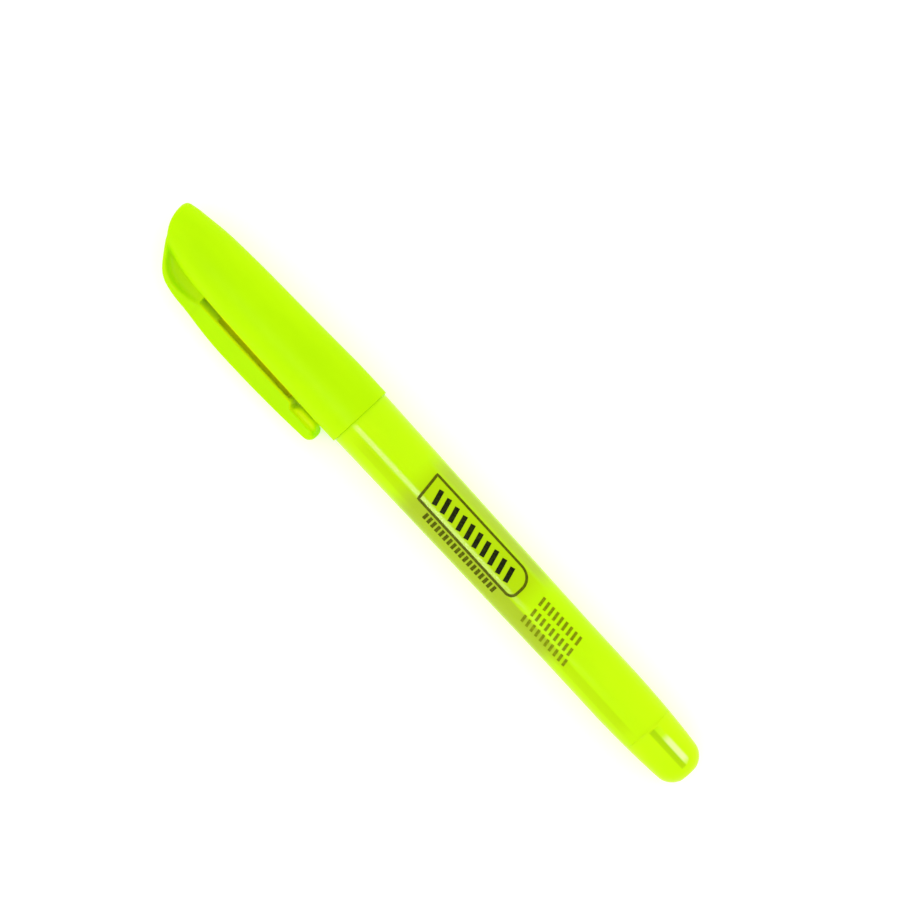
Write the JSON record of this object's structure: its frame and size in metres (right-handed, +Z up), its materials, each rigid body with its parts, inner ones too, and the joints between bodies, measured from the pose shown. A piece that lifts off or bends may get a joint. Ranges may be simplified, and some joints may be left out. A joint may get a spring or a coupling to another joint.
{
  "type": "highlighter",
  "caption": "Slim pocket highlighter with a pull-off cap, a springing pocket clip, a felt chisel nib and an ink reservoir.",
  "frame": {"origin": "on the surface that the pen lies on, below the middle of its bounding box", "axes": "+X along the pen from the cap's tip to the tail, +Z up, the clip on the -Y side"},
  "size_m": [0.135, 0.017, 0.0127],
  "materials": {
    "cap_plastic": "satin fluorescent yellow-green, semi-opaque",
    "barrel_plastic": "glossy fluorescent yellow-green, slightly translucent",
    "soft_white": "soft natural polyethylene",
    "felt": "ink-soaked bonded felt",
    "ink_fibre": "ink-soaked polyester fibre",
    "film": "thin clear film"
  },
  "bodies": {
    "barrel": {"barrel": "barrel_plastic", "tail_plug": "barrel_plastic", "nib_holder": "cap_plastic", "nib": "felt", "reservoir_core": "ink_fibre", "reservoir_film": "film"},
    "cap": {"cap_shell": "cap_plastic", "inner_cap": "soft_white"},
    "clip": {"clip": "cap_plastic"}
  },
  "joints": [
    {"name": "cap_slide", "type": "slide", "parent": "barrel", "child": "cap", "axis": [-0.9999, 0, 0.0149], "range_m": [0, 0.045]},
    {"name": "clip_flex", "type": "hinge", "parent": "cap", "child": "clip", "pos_m": [-0.05267, -0.00699, 0.00253], "axis": [-0.0135, 0.4226, -0.9062], "range_deg": [0, 5], "stiffness_Nm_per_rad": 0.5}
  ]
}
